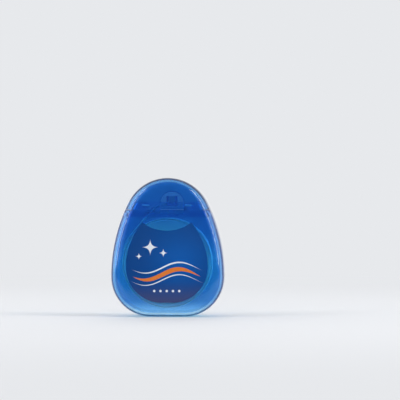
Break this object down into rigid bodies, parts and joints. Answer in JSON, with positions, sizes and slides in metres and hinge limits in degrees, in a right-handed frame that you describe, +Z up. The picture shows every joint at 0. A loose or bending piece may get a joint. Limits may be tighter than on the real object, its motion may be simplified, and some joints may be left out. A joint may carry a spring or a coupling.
{
  "type": "dental floss dispenser",
  "caption": "Egg-shaped pocket floss dispenser in translucent blue plastic, with a flip-top lid, a steel cutter under it and a bobbin of white floss that turns inside.",
  "frame": {"origin": "centre of the underside on which the dispenser stands, at the bottom centre of its box", "axes": "+Z up, the labelled front faces -Y, +X to the right of someone facing the front"},
  "size_m": [0.04, 0.017, 0.049],
  "materials": {
    "case_plastic": "translucent deep blue moulded plastic, glossy",
    "lid_plastic": "translucent deep blue moulded plastic, glossy",
    "insert_plastic": "blue moulded plastic, satin",
    "blade_steel": "stamped stainless strip, fine brushed",
    "core_plastic": "natural white moulded plastic",
    "floss": "white waxed multifilament floss",
    "label_film": "dark blue printed film, glossy"
  },
  "bodies": {
    "case": {"front_shell": "case_plastic", "rear_shell": "case_plastic", "cutter_insert": "insert_plastic", "cutter_blade": "blade_steel", "floss_lead": "floss", "front_label": "label_film"},
    "lid": {"flip_lid": "lid_plastic"},
    "bobbin": {"spool_core": "core_plastic", "floss_winding": "floss", "floss_outer_turns": "floss"}
  },
  "joints": [
    {"name": "lid_hinge", "type": "hinge", "parent": "case", "child": "lid", "pos_m": [0, 0.00712, 0.0378], "axis": [-1, 0, 0], "range_deg": [0, 110]},
    {"name": "bobbin_spin", "type": "hinge", "parent": "case", "child": "bobbin", "pos_m": [0, 0, 0.01895], "axis": [0, 1, 0], "continuous": true}
  ]
}
